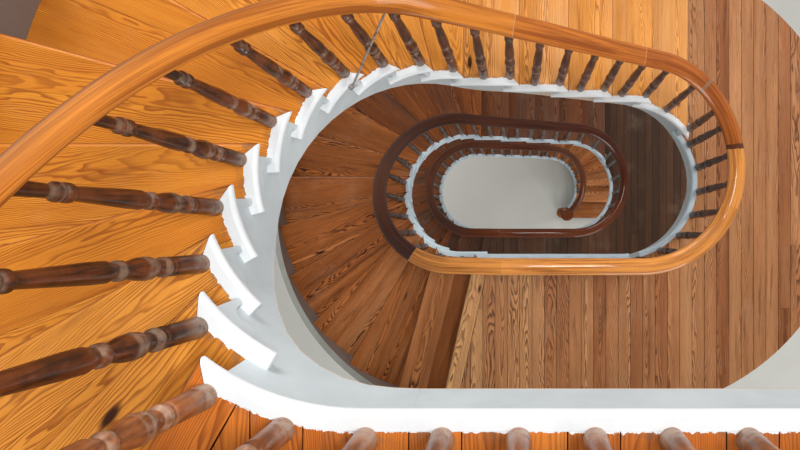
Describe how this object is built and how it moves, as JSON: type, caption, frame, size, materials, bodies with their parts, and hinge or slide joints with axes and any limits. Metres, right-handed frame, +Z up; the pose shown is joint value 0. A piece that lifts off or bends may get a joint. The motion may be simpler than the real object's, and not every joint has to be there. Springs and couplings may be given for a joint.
{
  "type": "spiral staircase",
  "caption": "Open-well timber stair with winders and landings winding round a long oval well, with cut string, turned balusters and a wreathed handrail.",
  "frame": {"origin": "centre of the newel post's flat foot, on the ground floor", "axes": "+Z up. X runs along the long sides of the well, with the winders at -X. +Y points from the landings' side across the well to the straight steps."},
  "size_m": [3.9478, 2.948, 11.1039],
  "materials": {
    "tread_wood": "worn satin varnish",
    "riser_paint": "worn painted wood",
    "white_paint": "worn painted wood",
    "string_paint": "painted wood",
    "wall_string_paint": "painted wood",
    "plaster": "matte painted plaster",
    "baluster_wood": "worn varnish",
    "rail_wood": "gloss varnish",
    "floor_wood": "worn satin varnish",
    "joist_wood": "sawn",
    "iron": "worn paint"
  },
  "bodies": {
    "root": {"treads_1": "tread_wood", "risers_1": "riser_paint", "return_nosings_1": "white_paint", "cut_string_1": "string_paint", "wall_string_1": "wall_string_paint", "plaster_1": "plaster", "flight_balusters_1": "baluster_wood", "flight_rail_1": "rail_wood", "landing_boards_1": "floor_wood", "landing_joists_1": "joist_wood", "landing_fascia_1": "string_paint", "landing_nosing_1": "white_paint", "landing_balusters_1": "baluster_wood", "landing_rail_1": "rail_wood", "treads_2": "tread_wood", "risers_2": "riser_paint", "return_nosings_2": "white_paint", "cut_string_2": "string_paint", "wall_string_2": "wall_string_paint", "plaster_2": "plaster", "flight_balusters_2": "baluster_wood", "flight_rail_2": "rail_wood", "landing_boards_2": "floor_wood", "landing_joists_2": "joist_wood", "landing_fascia_2": "string_paint", "landing_nosing_2": "white_paint", "landing_balusters_2": "baluster_wood", "landing_rail_2": "rail_wood", "treads_3": "tread_wood", "risers_3": "riser_paint", "return_nosings_3": "white_paint", "cut_string_3": "string_paint", "wall_string_3": "wall_string_paint", "plaster_3": "plaster", "flight_balusters_3": "baluster_wood", "flight_rail_3": "rail_wood", "landing_boards_3": "floor_wood", "landing_joists_3": "joist_wood", "landing_fascia_3": "string_paint", "landing_nosing_3": "white_paint", "landing_balusters_3": "baluster_wood", "landing_rail_3": "rail_wood", "newel_post": "baluster_wood", "newel_cap": "rail_wood", "brace_rod": "iron"}
  },
  "joints": []
}
